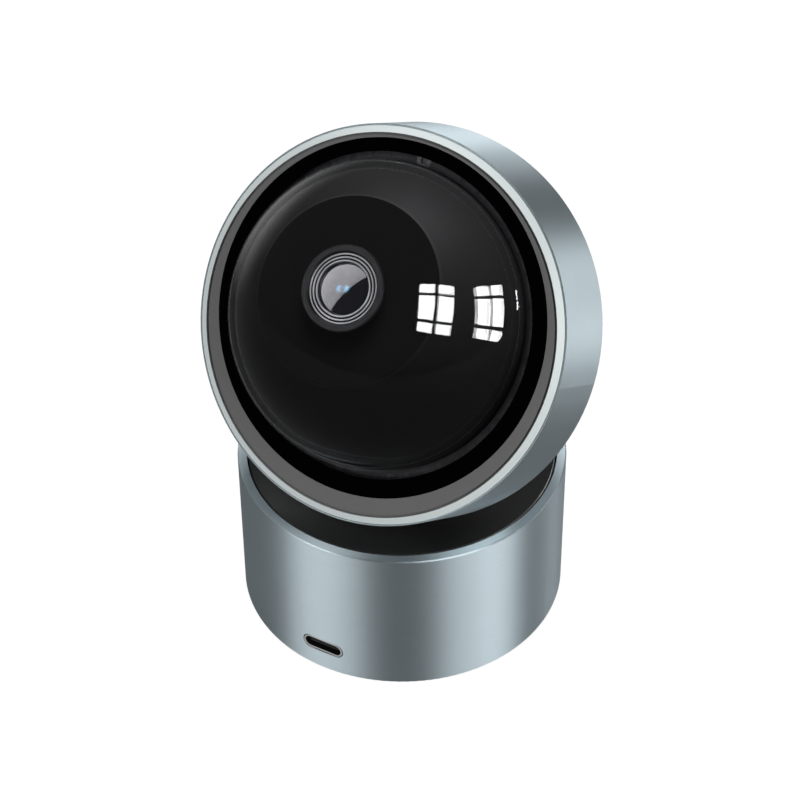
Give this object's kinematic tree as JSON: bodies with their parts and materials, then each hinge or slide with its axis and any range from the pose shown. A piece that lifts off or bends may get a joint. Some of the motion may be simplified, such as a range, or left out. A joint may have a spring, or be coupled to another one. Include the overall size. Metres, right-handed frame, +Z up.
{
  "type": "pan-tilt security camera",
  "caption": "Round desk camera: a domed drum head that tilts on a neck, over a dish that turns inside a metal base with a USB-C inlet.",
  "frame": {"origin": "on the pan axis, at the floor under the middle of the base", "axes": "+Z up along the pan axis, -Y to the front where the USB-C inlet is, +X to the right of someone who looks at the front"},
  "size_m": [0.0798, 0.0741, 0.1067],
  "materials": {
    "base_metal": "fine brushed, anodised",
    "head_metal": "brushed round the drum, anodised",
    "rear_metal": "satin",
    "dish_black": "satin",
    "bright_trim": "diamond cut",
    "bezel_grey": "satin",
    "window_black": "gloss",
    "smoked_dome": "gloss, smoked",
    "shroud_black": "satin",
    "lens_black": "satin",
    "lens_silver": "turned",
    "lens_glass": "coated",
    "rubber_black": "matte",
    "cover_black": "fine texture",
    "inner_plastic": "moulded",
    "gear_white": "moulded acetal",
    "steel": "turned",
    "zinc_screw": "blackened",
    "brass": "turned",
    "board_green": "solder mask",
    "shield_tin": "tinned",
    "chip_black": "matte",
    "cone_paper": "paper",
    "cable_black": "matte",
    "led_clear": "clear"
  },
  "bodies": {
    "base": {"base_shell": "base_metal", "bottom_cover": "cover_black", "rubber_foot_ring": "rubber_black", "tripod_insert": "brass", "cover_screws": "zinc_screw", "base_chassis": "inner_plastic", "hub_bush": "gear_white", "pan_motor": "steel", "pan_motor_screws": "zinc_screw", "base_board": "board_green", "usb_socket_shell": "steel", "usb_tongue": "chip_black", "speaker_frame": "inner_plastic", "speaker_cone": "cone_paper", "reset_switch": "chip_black"},
    "turret": {"turret_dish": "dish_black", "turret_hub": "inner_plastic", "pan_gear": "gear_white", "hub_retaining_ring": "steel", "turret_screws": "zinc_screw", "neck": "inner_plastic", "neck_cover": "inner_plastic", "neck_screws": "zinc_screw", "tilt_axle": "steel", "tilt_sector_gear": "gear_white", "slot_shutter": "dish_black", "cable_harness": "cable_black"},
    "head": {"drum_shell": "head_metal", "front_trim_ring": "bright_trim", "front_bezel": "bezel_grey", "window_ring": "window_black", "dome_cover": "smoked_dome", "face_carrier": "inner_plastic", "carrier_screws": "zinc_screw", "rear_shell": "rear_metal", "head_chassis": "inner_plastic", "chassis_screws": "zinc_screw", "tilt_bushes": "gear_white", "tilt_motor": "steel", "tilt_motor_screws": "zinc_screw", "main_board": "board_green", "processor_shield": "shield_tin", "wifi_module": "shield_tin", "lens_shroud": "shroud_black", "lens_bezel": "lens_black", "lens_trim_rings": "lens_silver", "lens_barrel": "lens_black", "front_lens_element": "lens_glass", "rear_lens_element": "lens_glass", "lens_holder": "inner_plastic", "image_sensor": "chip_black", "sensor_board": "board_green", "ir_led_board": "board_green", "ir_leds": "led_clear"},
    "pan_drive": {"pan_pinion": "gear_white", "pan_motor_shaft": "steel"},
    "tilt_drive": {"tilt_pinion": "gear_white", "tilt_motor_shaft": "steel"},
    "reset": {"reset_button": "inner_plastic"}
  },
  "joints": [
    {"name": "pan", "type": "hinge", "parent": "base", "child": "turret", "pos_m": [0, 0, 0.0181], "axis": [0, 0, 1], "range_deg": [-177.5, 177.5]},
    {"name": "tilt", "type": "hinge", "parent": "turret", "child": "head", "pos_m": [0, 0, 0.0679], "axis": [-1, 0, 0], "range_deg": [-38, 27]},
    {"name": "pan_pinion_spin", "type": "hinge", "parent": "base", "child": "pan_drive", "pos_m": [-0.02, 0, 0.0184], "axis": [0, 0, 1], "range_deg": [-720, 720]},
    {"name": "tilt_pinion_spin", "type": "hinge", "parent": "head", "child": "tilt_drive", "pos_m": [0.0084, 0.01783, 0.06539], "axis": [-1, 0, 0], "range_deg": [-140, 100]},
    {"name": "reset_press", "type": "slide", "parent": "base", "child": "reset", "axis": [0, 0, 1], "range_m": [0, 0.0003], "stiffness_N_per_m": 300}
  ],
  "couplings": [
    {"joint": "pan_pinion_spin", "follows": "pan", "ratio": -4},
    {"joint": "tilt_pinion_spin", "follows": "tilt", "ratio": 3.5}
  ]
}
